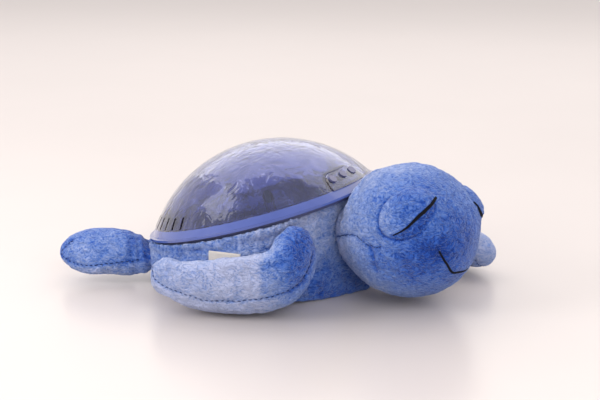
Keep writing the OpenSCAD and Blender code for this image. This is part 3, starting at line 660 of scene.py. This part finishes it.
def board_look():
    """Solder mask with copper runs under it."""
    mat, tree, shader = new_look("circuit_mask")
    spot = place(tree)
    runs = add(tree, "TexBrick", Scale=260.0, Mortar_Size=0.012, offset=0.35)
    tree.links.new(spot, runs.inputs["Vector"])
    speck = grain(tree, spot, 500)
    mask = total(tree, spread(tree, runs.outputs["Fac"], 0, 0.6), spread(tree, speck, 0, 0.4))
    colours(tree, mask, shader, [
        (0.1, (0.010, 0.10, 0.05)), (0.6, (0.03, 0.20, 0.10)), (0.9, (0.10, 0.32, 0.14))])
    tree.links.new(spread(tree, speck, 0.25, 0.42), shader.inputs["Roughness"])
    relief(tree, mask, shader, 0.05 * MM)
    return mat


def woven_look(name, dark, light, threads):
    """Plain weave, threads to the metre."""
    mat, tree, shader = new_look(name)
    spot = place(tree)
    weave = [spread(tree, waves(tree, spot, threads, 0.6, 1.0, way), 0, 0.5) for way in "XZ"]
    cloth = total(tree, *weave)
    worn = total(tree, cloth, spread(tree, grain(tree, spot, 120), -0.2, 0.2))
    colours(tree, worn, shader, [(0.1, dark), (0.8, light)])
    fixed(shader, Roughness=0.85, Sheen_Weight=0.15)
    relief(tree, cloth, shader, 0.2 * MM)
    return mat


def floor_look():
    """Pale painted table top."""
    mat, tree, shader = new_look("pale_table")
    cloud = grain(tree, place(tree), 3)
    colours(tree, cloud, shader, [(0, (0.56, 0.515, 0.495)), (1, (0.62, 0.57, 0.55))])
    tree.links.new(spread(tree, cloud, 0.285, 0.325), shader.inputs["Roughness"])
    return mat


looks = {
    "plush": plush_look(),
    "tape": woven_look("hook_tape", (0.010, 0.014, 0.05), (0.05, 0.06, 0.16), 700),
    "label": woven_look("label_weave", (0.50, 0.46, 0.42), (0.70, 0.66, 0.60), 420),
    "dome": dome_look(),
    "band": moulded_look("gloss_band", (0.052, 0.084, 0.30), (0.078, 0.115, 0.36), 0.22, 0.6, 0.01),
    "button": moulded_look("tinted_button", (0.075, 0.075, 0.16), (0.12, 0.12, 0.24), 0.25, 0.3),
    "circuit": board_look(),
    "black_plastic": moulded_look("black_moulding", (0.012, 0.012, 0.014), (0.03, 0.03, 0.034), 0.5),
    "steel": metal_look("zinc_plate", (0.42, 0.42, 0.45), (0.68, 0.68, 0.70), 0.3),
    "housing": moulded_look("navy_housing", (0.03, 0.036, 0.1), (0.055, 0.065, 0.16), 0.45, 0, 0.06),
    "cell": metal_look("cell_wrap", (0.20, 0.24, 0.20), (0.42, 0.46, 0.40), 0.35),
    "white_plastic": moulded_look("white_moulding", (0.66, 0.66, 0.68), (0.80, 0.80, 0.80), 0.4),
    "lamp": clear_look("lamp_lens", (0.85, 0.80, 0.55), (0.95, 0.92, 0.75)),
    "clear": clear_look("clear_moulding", (0.70, 0.78, 0.88), (0.86, 0.90, 0.96)),
    "basket": metal_look("black_basket", (0.03, 0.03, 0.03), (0.07, 0.07, 0.07), 0.45),
}
seam_thread = thread_look("seam_thread", (0.006, 0.016, 0.075), (0.02, 0.04, 0.14))
eye_thread = thread_look("eye_thread", (0.0012, 0.0014, 0.003), (0.006, 0.007, 0.012))


# Lines and places on the covers, in mm, chosen to lie as in the photo

EYE = [(169, -70, 68.5), (177, -69, 74), (185, -65, 82), (191, -57, 89), (194, -48, 92.5)]
LEFT_EYE = [(202.5, 17, 61.5), (212, 5, 66), (217, -9, 74.5), (214, -15.5, 83)]
MOUTH = [(201.5, -61.5, 56.5), (206, -57.5, 46.5), (209, -52, 38.5), (212, -46, 37), (215, -31, 35.5)]
CHEEK = [(112, -39, 51), (130, -57.5, 59.5), (137, -62, 60), (150.5, -68.5, 55.5), (160, -70.5, 57)]
CHEEK_FOLD = [(150.5, -68.5, 55), (154, -68, 46), (154.5, -66, 39)]
FORE_SEAM = [
    (-4, -120, 30.5), (7, -125.5, 25), (31, -127, 20), (40, -125.5, 17), (64, -121.5, 18.5),
    (90, -113, 22.5), (109, -100, 33), (113, -85.5, 52)]
FORE_FOLDS = [
    [(87, -119, 49), (93, -117, 48.5), (98.5, -114, 49)],
    [(67.5, -122.5, 45.5), (68.5, -125, 37), (67.5, -123.5, 24)],
    [(87.5, -119.5, 46), (87.5, -119.5, 38), (86.5, -118, 28.5)]]
HIND_SEAM = [
    (-108, -76, 24), (-104, -82, 21), (-87, -85.5, 18), (-63, -78, 20), (-44, -64, 21.5)]
HIND_FOLDS = [
    [(-56, -56.5, 35.5), (-52.5, -63.5, 30), (-50, -67.5, 24)],
    [(-47.5, -48, 33), (-44, -55, 29), (-41.5, -59.5, 23.5)]]
HIGH_BACK = [
    (-9, 4.5), (2, 6.5), (15, 4.5), (28, 2.8), (40, 3.8), (50, 5), (66, 4.5), (77, 2), (90, 0)]
LEFT_REAR_TURN = math.radians(-18)
SIDE_SEAM = [(-60, 30), (-21, 36), (4, 42.5), (55, 50), (73, 51), (110, 52)]
RIGHT_LID = {"middle": (177, -60, 81.5), "yaw": -78.5, "pitch": 29.5, "tilt": 37.5}
LEFT_LID = {"middle": (205.5, 4, 73), "yaw": 35, "pitch": 19, "tilt": -24.5}
LID_LONG, LID_SHORT = 23.5, 17.4
LID_RISE, LID_CREASE, LID_DROP = 3.6 * MM, 1.5 * MM, 1.6 * MM
# Middle and size of the painted shade on the muzzle.
MUZZLE, MUZZLE_SIZE = np.array([200, -56, 56]), np.array([30, 34, 28])
HEAD_MIDDLE = np.array([164.8, -18.6, 57.5])
HEAD_YAW = math.radians(31)
HEAD_SIDE = np.array([math.sin(HEAD_YAW), math.cos(HEAD_YAW), 0])
HEAD_FORE = np.array([math.cos(HEAD_YAW), -math.sin(HEAD_YAW), 0])


# The head

def mirrored_head(points):
    """Points mirrored to the other side of the head."""
    p = np.array(points, float)
    return p - 2 * ((p - HEAD_MIDDLE) @ HEAD_SIDE)[:, None] * HEAD_SIDE


def eyelid(work, lid, eye_line, outer):
    """A padded oval lid with its crease; painted shade in the crease and over the lid, deepest below
    the closed eye, and a painted highlight on the lid's outer side.
    """
    yaw, pitch, tilt = (math.radians(lid[key]) for key in ("yaw", "pitch", "tilt"))
    level = np.array([math.sin(yaw), -math.cos(yaw), 0])
    out = np.array([
        math.cos(yaw) * math.cos(pitch), math.sin(yaw) * math.cos(pitch), math.sin(pitch)])
    down = np.cross(out, level)
    here = work.points / MM - lid["middle"]
    a, b = here @ level, here @ down
    share = np.hypot((a * math.cos(tilt) + b * math.sin(tilt)) / LID_LONG,
                     (b * math.cos(tilt) - a * math.sin(tilt)) / LID_SHORT)
    facing = soft_step(here @ out, -24, -16)
    low_side = 0.35 + 0.65 * (0.55 * outer * a + 0.83 * b) / np.maximum(np.hypot(a, b), 1)
    rim = np.exp(-((share - 1.02) / 0.045) ** 2) * facing * np.clip(low_side, 0.05, 1)
    line = rounded_path(eye_line)
    _, spot = line_gap(line, work.points)
    along = np.gradient(line, axis=0)
    along /= np.linalg.norm(along, axis=1)[:, None]
    under = np.cross(out, along)
    under *= np.sign(under @ down)[:, None]
    past = np.einsum("ij,ij->i", work.points - line[spot], under[spot]) / MM
    inside = soft_step(-share, -1.0, -0.9) * facing
    work.rise += LID_RISE * np.clip(1 - share ** 2, 0, 1) ** 0.55 * facing
    work.rise -= LID_CREASE * rim
    work.rise -= LID_DROP * inside * soft_step(past, 0, 2.5)
    # Painted shade in the crease round the lid and below the eye line, painted highlight on the lid's
    # outer side.
    work.tone -= 0.34 * rim
    work.tone -= inside * (0.09 * soft_step(-past, 0, 3) + 0.22 * soft_step(past, -0.5, 1.5))
    work.tone += 0.17 * inside * soft_step(outer * a, 0, 15)


def eye_width(t):
    """Half width of the eye line along its length."""
    return (0.35 + 1.35 * np.sin(math.pi * (0.05 + 0.88 * t) ** 1.7) ** 0.65) * MM


def mouth_width(t):
    """Half width of the mouth line along its length."""
    return (0.55 + 0.4 * np.sin(math.pi * t) ** 0.5) * MM


def left_eye_width(t):
    """Half width of the left eye's line, which is finer."""
    return 0.7 * eye_width(t)


left_cheek = laid_on(tree_of([nodes["head"]]), mirrored_head(CHEEK) * MM)[0] / MM
cheeks = [rounded_path(CHEEK), rounded_path(left_cheek)]
head = cover("head", "head_cover", 4 * MM, 2, 1.2 * MM, 4, 4 * MM, cheeks)
nap = Nap(head, 11)
eyelid(nap, RIGHT_LID, EYE, 1)
eyelid(nap, LEFT_LID, LEFT_EYE, -1)
# Cheek seams and fold as grooves with painted shade in them.
for line in cheeks:
    nap.groove(line, 1.4 * MM, 1.3 * MM, 0.22)
nap.groove(rounded_path(CHEEK_FOLD), 1.8 * MM, 1.8 * MM, 0.22)
# Painted shade: the face darker towards the front, deepest at the muzzle.
fore = (nap.points / MM - HEAD_MIDDLE) @ HEAD_FORE
from_muzzle = np.sum(((nap.points / MM - MUZZLE) / MUZZLE_SIZE) ** 2, axis=1)
nap.tone += 0.66 - 0.18 * soft_step(fore, -12, 34) - 0.33 * np.exp(-from_muzzle)
nap.tone += 0.06 * soft_step(-nap.points[:, 2], -30 * MM, -14 * MM)
nap.pile(0.5 * MM)
nap.finish()
head.data.materials.append(looks["plush"])
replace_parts(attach(head, "turtle"), "head")
for name, points, width in (
        ("right_eye_line", EYE, eye_width),
        ("left_eye_line", LEFT_EYE, left_eye_width),
        ("mouth_line", MOUTH, mouth_width)):
    satin(name, head, rounded_path(points, 0.3), width, "turtle", eye_thread)
for side, line in zip(("right", "left"), cheeks):
    stitches(side + "_cheek_stitches", head, line, "turtle", seam_thread,
             2.2 * MM, 2.6 * MM, 0.26 * MM)


# The body

def angle_round_shell(points):
    """Angle of each point round the shell, as seen from above."""
    return np.arctan2(points[:, 1], points[:, 0] - SHELL_MIDDLE[0] * MM)


def band_edge(around):
    """Height of the band's lower edge at angles round the shell."""
    band = coords(nodes["rim_band"].data)
    lowest = np.full(360, 1.0)
    which = (np.degrees(angle_round_shell(band)) % 360).astype(int)
    np.minimum.at(lowest, which, band[:, 2])
    known = np.flatnonzero(lowest < 1)
    return np.interp(np.degrees(around) % 360, known, lowest[known], period=360)


torso = cover("torso", "torso_cover", 2.6 * MM, 1, 0.8 * MM, 3, 3 * MM)
nap = Nap(torso, 31)
height = nap.points[:, 2]
around = angle_round_shell(nap.points)
angle = np.degrees(around)
below = band_edge(around) - height
outward = np.clip(nap.normals[:, 0] * np.cos(around) + nap.normals[:, 1] * np.sin(around), 0, 1)
wobble = noise(np.stack([around * 0.1, around * 0, around * 0], 1), 0.012, 33)
gathers = np.sin(around * 46 + 5 * wobble)
gathers *= soft_step(outward, 0.3, 0.8) * soft_step(below, -4 * MM, 2 * MM)
gathers *= np.exp(-np.clip(below, 0, 1) / (9 * MM))
seam_z = np.interp(nap.points[:, 0] / MM, *np.array(SIDE_SEAM).T)
seam = np.exp(-((height / MM - seam_z) / 1.2) ** 2) * soft_step(outward, 0.4, 0.8)
nap.rise += 0.9 * MM * gathers - 0.8 * MM * seam
nap.rise += 3.0 * MM * soft_step(outward, 0.2, 0.7) * np.exp(-((below / MM - 3) / 4.5) ** 2)
# Painted light and shade: gather ridges lighter and their hollows darker, the side seam's groove
# darker.
nap.tone += 0.10 * gathers - 0.16 * seam
# Painted shade: darker towards the bottom and at the front, under the head. A lighter patch high on
# the right front shoulder.
nap.tone += 0.70 - 0.24 * soft_step(-height, -46 * MM, -10 * MM)
nap.tone += 0.16 * np.exp(-((angle + 45) / 16) ** 2) * soft_step(height, 34 * MM, 54 * MM)
nap.tone -= 0.10 * soft_step(angle, -50, -30) * soft_step(-angle, -50, -30)
nap.pile(0.45 * MM)
nap.finish()
torso.data.materials.append(looks["plush"])
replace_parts(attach(torso, "turtle"), "torso")


# The flippers

def both_faces(tree, points):
    """A seam over a limb's outer face, round its tip and back over its inner face, in mm."""
    outer, face = laid_on(tree, np.array(points) * MM)
    inner = []
    for p, n in zip(outer, face):
        away = np.array([n[0], n[1], 0]) / max(math.hypot(n[0], n[1]), 1e-6)
        inner.append(far_side(tree, p, away))
    return list(np.array(inner)[::-1] / MM) + list(outer / MM)


def level_seam(tree, xs, y, z):
    """A seam at one height, out along a limb's right side and back along its left, in mm."""
    seam = []
    for side in (-1, 1):
        run = []
        for x in xs:
            start = Vector((x * MM, (y + side * 60) * MM, z * MM))
            hit = tree.ray_cast(start, Vector((0, -side, 0)))
            if hit[0] is not None:
                run.append(np.array(hit[0]) / MM)
        seam += run if side < 0 else run[::-1]
    return seam


def flipper(node, body, seam, folds, seed, root_shade_tip_light, tip, root, shape):
    """A stuffed flipper with its edge seam and folds, painted shade in them and at its root, and a
    painted highlight towards its tip.
    """
    solid = tree_of([nodes[node]])
    line = rounded_path(laid_on(solid, rounded_path(seam, 4))[0] / MM)
    ob = cover(node, node + "_cover", 3.4 * MM, 2, 1.0 * MM, 4, 3 * MM, [line], 0.8 * MM)
    put_coords(ob.data, shape(coords(ob.data) / MM) * MM)
    work = Nap(ob, seed)
    # Painted shade in the edge seam's groove and in the folds.
    work.groove(line, 1.3 * MM, 0.9 * MM, 0.20)
    _, spot = line_gap(line, work.points)
    under = (line[spot][:, 2] - work.points[:, 2]) / MM
    work.tone += 0.12 * soft_step(under, 0.5, 4)
    for fold in folds:
        work.groove(rounded_path(fold), 2.4 * MM, 1.3 * MM, 0.16)
    # Painted shade at the root, painted highlight towards the tip.
    way = np.array(tip) - root
    along = (work.points / MM - root) @ way / np.sum(way ** 2)
    work.tone += root_shade_tip_light[0] + (root_shade_tip_light[1] - root_shade_tip_light[0]) * soft_step(along, -0.05, 0.42)
    work.pile(0.45 * MM)
    work.finish()
    ob.data.materials.append(looks["plush"])
    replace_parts(joined(ob, body), node)
    stitches(node + "_stitches_0", ob, line, body, seam_thread)


def high_back(points):
    """The right front flipper's upper edge, raised as it is in the photo."""
    x, z = points[:, 0], points[:, 2]
    start, step, count = -12, 4, 41
    bins = np.clip(((x - start) / step).astype(int), 0, count - 1)
    low, high = np.full(count, 1e3), np.full(count, -1e3)
    np.minimum.at(low, bins, z)
    np.maximum.at(high, bins, z)
    used = np.flatnonzero(high > -1e3)
    where = start + (used + 0.5) * step
    low, high = np.interp(x, where, low[used]), np.interp(x, where, high[used])
    more = np.interp(x, *np.array(HIGH_BACK).T)
    out = points.copy()
    out[:, 2] += more * soft_step((z - low) / np.maximum(high - low, 1), 0.35, 1)
    return out


def toward_shell(angle):
    """The level way to the shell's axis from an angle round it."""
    return -np.array([math.cos(math.radians(angle)), math.sin(math.radians(angle)), 0])


def sewn_in(angle):
    """Runs a rear flipper's root under the band as a tongue that stays in the body when it lifts."""
    inward = toward_shell(angle)

    def shape(points):
        depth = points @ inward
        far = depth.max()
        root = soft_step(depth, far - 3.5, far - 0.5)
        near = soft_step(depth, far - 34, far - 10)
        z = points[:, 2]
        low = soft_step(-z, -30, -12)
        out = points + inward * ((11 + 7 * low) * root)[:, None]
        out[:, 2] -= np.maximum(z - 29, 0) * soft_step(depth, far - 8, far - 2) * (1 - root)
        out[:, 2] -= 4.5 * near * soft_step(-z, -22, -9) * (1 - root)
        out[:, 2] += (22.5 - z) * 0.6 * root
        return out
    return shape


def neck(solid, angle, z, wide):
    """Draws a front flipper's shoulder out into a neck that is sewn into the body."""
    inward = toward_shell(angle)
    into = np.array([SHELL_MIDDLE[0], 0, z]) - inward * 85
    hit = solid.ray_cast(Vector(into * MM), Vector(-inward))
    root = np.array(hit[0]) / MM
    reach = (into - root) @ inward

    def shape(points):
        here = points - root
        depth = here @ inward
        aside = np.linalg.norm(here - depth[:, None] * inward, axis=1)
        pull = reach * soft_step(depth, -9, 1) * np.exp(-(aside / wide) ** 4)
        return points + inward * pull[:, None]
    return shape


def swung(points):
    """Lines of the right rear flipper on the left one, which lies further forward."""
    middle = np.array([SHELL_MIDDLE[0], 0, 0])
    p = np.array(points, float) * [1, -1, 1] - middle
    c, s = math.cos(LEFT_REAR_TURN), math.sin(LEFT_REAR_TURN)
    return np.stack([c * p[:, 0] - s * p[:, 1], s * p[:, 0] + c * p[:, 1], p[:, 2]], 1) + middle


right_fore, left_fore, right_hind, left_hind = (
    tree_of([nodes[name + "_flipper"]])
    for name in ("right_front", "left_front", "right_rear", "left_rear"))
right_neck = neck(right_fore, -46, 46, 12)
flipper("right_front_flipper",
        ("turtle", "right_front_limb", (0.116, -0.088, 0.04), (0.058, -0.102, 0.04)),
        both_faces(right_fore, FORE_SEAM)[::-1], FORE_FOLDS, 51, (0.24, 0.96),
        (0, -112, 25), (108, -85, 45), lambda points: right_neck(high_back(points)))
flipper("left_front_flipper",
        ("turtle", "left_front_limb", (0.096, 0.082, 0.03), (0.138, 0.075, 0.03)),
        level_seam(left_fore, np.arange(112, 206, 8), 72, 15), [], 61, (0.50, 0.80),
        (205, 62, 16), (105, 80, 30), neck(left_fore, 52, 30, 11))
flipper("right_rear_flipper", "right_rear_limb",
        both_faces(right_hind, HIND_SEAM), HIND_FOLDS, 71, (0.42, 0.56),
        (-110, -75, 22), (-45, -50, 26), sewn_in(210))
flipper("left_rear_flipper", "left_rear_limb",
        both_faces(left_hind, swung(HIND_SEAM)), [swung(f) for f in HIND_FOLDS], 81, (0.42, 0.56),
        (-72, 110, 22), (-20, 78, 26), sewn_in(132))


# The belly flap, its tapes and the label

flap = welded("belly_flap", "belly_flap_cover")
remesh(flap, 0.9 * MM)
relax(flap, 2)
nap = Nap(flap, 91)
nap.tuft *= soft_step(nap.points[:, 2], -0.2 * MM, 1.0 * MM) * 0.6
nap.tone += 0.34
nap.pile(0.12 * MM)
nap.rise -= 0.12 * MM
nap.finish()
flap.data.materials.append(looks["plush"])
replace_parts(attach(flap, "flap"), "belly_flap")
low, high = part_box("belly_flap")


def tape(node, name, body, up):
    """A woven tape with rows of hooks or loops on its face, which looks up (1) or down (-1)."""
    low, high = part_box(node)
    wide, long, tall = high - low
    bm = bmesh.new()
    thick = tall * 0.4
    base = low.z if up > 0 else high.z - thick
    columns, rows = 4, 36
    for layer in (base, base + thick):
        for i in range(columns + 1):
            for j in range(rows + 1):
                bm.verts.new((low.x + wide * i / columns, low.y + long * j / rows, layer))
    bm.verts.ensure_lookup_table()
    row, half = rows + 1, (columns + 1) * (rows + 1)
    for i in range(columns):
        for j in range(rows):
            a = i * row + j
            bm.faces.new([bm.verts[k] for k in (a, a + 1, a + row + 1, a + row)])
            bm.faces.new([bm.verts[k + half] for k in (a, a + row, a + row + 1, a + 1)])
    bmesh.ops.bridge_loops(bm, edges=[e for e in bm.edges if e.is_boundary])
    face_z = base + thick if up > 0 else base
    loops_across, loops_along, turns = 5, 44, 5
    t = np.linspace(0, math.pi, turns)
    size = np.full(turns, 0.07 * MM)
    for i in range(loops_across):
        for j in range(loops_along):
            x = low.x + wide * (i + 0.5) / loops_across
            y = low.y + long * (j + 0.5) / loops_along
            z = face_z + tall * 0.55 * up * np.sin(t)
            path = np.stack([x + 0 * t, y + 0.22 * MM * np.cos(t), z], 1)
            sweep(bm, path, np.tile([1.0, 0, 0], (turns, 1)), size, size, 4)
    ob = made(name, bm, body, looks["tape"])
    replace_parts(ob, node)


tape("hook_strip", "hook_tape", "flap", 1)
tape("loop_strip", "loop_tape", "turtle", -1)

LABEL_DROP, LABEL_ROWS, LABEL_COLUMNS = 9, 10, 26
LABEL_GAP = 0.56
low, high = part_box("care_label")
bend = np.linspace(0.4, 2.74, 5)
drop = np.concatenate([
    np.linspace(0, LABEL_DROP, LABEL_ROWS),
    LABEL_DROP + 0.45 * np.sin(bend),
    np.linspace(LABEL_DROP, 0.4, LABEL_ROWS)])
depth = np.concatenate([
    np.zeros(LABEL_ROWS), LABEL_GAP / 2 * (1 - np.cos(bend)), np.full(LABEL_ROWS, LABEL_GAP)])
hang = drop / LABEL_DROP
bm = bmesh.new()
grid = []
for i in range(LABEL_COLUMNS + 1):
    x = low.x + (high.x - low.x) * i / LABEL_COLUMNS
    curl = 0.5 * math.sin(i / LABEL_COLUMNS * math.pi * 1.5 + 0.4)
    ys = high.y - 0.05 * MM - (depth + curl * hang ** 2 * 0.6 + 0.3 * hang) * MM
    grid.append([bm.verts.new((x, y, high.z - d * MM)) for y, d in zip(ys, drop)])
for a, b in zip(grid, grid[1:]):
    for j in range(len(drop) - 1):
        bm.faces.new((a[j], a[j + 1], b[j + 1], b[j]))
label = made("care_label_tab", bm, "turtle", looks["label"])
skin = label.modifiers.new("cloth", "SOLIDIFY")
skin.thickness = 0.22 * MM
skin.offset = 0
bake(label)
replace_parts(label, "care_label")


# Looks of the solids that stay

for entry in frame["record"]["subparts"]:
    solid = nodes[entry["node"]]
    if not solid.hide_render:
        solid.data.materials.clear()
        solid.data.materials.append(looks[entry["material_slot"]])


# Table, light and camera

bm = bmesh.new()
bmesh.ops.create_grid(bm, x_segments=40, y_segments=40, size=6)
floor_mesh = bpy.data.meshes.new("table")
bm.to_mesh(floor_mesh)
bm.free()
floor_mesh.materials.append(floor_look())
floor = bpy.data.objects.new("table", floor_mesh)
scene.collection.objects.link(floor)

AIM = Vector((67.4, 0, 66.2)) * MM
AZIMUTH = math.radians(22)
ELEVATION = math.radians(15)
BACK = Vector((
    math.sin(AZIMUTH) * math.cos(ELEVATION),
    -math.cos(AZIMUTH) * math.cos(ELEVATION),
    math.sin(ELEVATION)))
CAMERA_FAR = 1.124
WARM, COOL = (1, 0.98, 0.97), (0.97, 0.98, 1)

sky = bpy.data.worlds.new("studio")
scene.world = sky
sky.use_nodes = True
tree = sky.node_tree
light = tree.nodes["Background"]
fixed(light, Color=(1, 0.945, 0.93, 1))
way = tree.nodes.new("ShaderNodeTexCoord").outputs["Generated"]
level = add(tree, "MapRange", interpolation_type="SMOOTHSTEP",
            From_Min=-0.3, From_Max=0.75, To_Min=1.08, To_Max=0.6)
tree.links.new(worked(tree, "VectorMath", "DOT_PRODUCT", way, BACK), level.inputs["Value"])
tree.links.new(level.outputs["Result"], light.inputs["Strength"])


def softbox(name, spot, width, depth, power, colour, shown):
    """A large soft light at the part, which gloss mirrors if it is shown."""
    lamp = bpy.data.lights.new(name, "AREA")
    lamp.shape = "RECTANGLE"
    lamp.size = width
    lamp.size_y = depth
    lamp.energy = power
    lamp.color = colour
    ob = bpy.data.objects.new(name, lamp)
    ob.location = spot
    ob.rotation_euler = (Vector(spot) - AIM).to_track_quat("Z", "Y").to_euler()
    ob.visible_glossy = shown
    scene.collection.objects.link(ob)


softbox("top_box", (-0.15, 0.85, 1.05), 2.3, 1.6, 12, WARM, True)
softbox("side_box", (-0.75, -0.85, 0.6), 0.55, 0.55, 8, WARM, False)
softbox("glint_box", (-0.80, -0.25, 0.95), 0.6, 0.5, 1.6, WARM, True)
softbox("front_box", (0.95, -1.0, 0.75), 1.4, 1.2, 13, COOL, False)

eye = bpy.data.cameras.new("photo_view")
eye.lens = 84
eye.sensor_width = 36
eye.sensor_fit = "HORIZONTAL"
camera = bpy.data.objects.new("photo_view", eye)
camera.location = AIM + BACK * CAMERA_FAR
camera.rotation_euler = BACK.to_track_quat("Z", "Y").to_euler()
scene.collection.objects.link(camera)
scene.camera = camera
scene.view_settings.view_transform = "Standard"
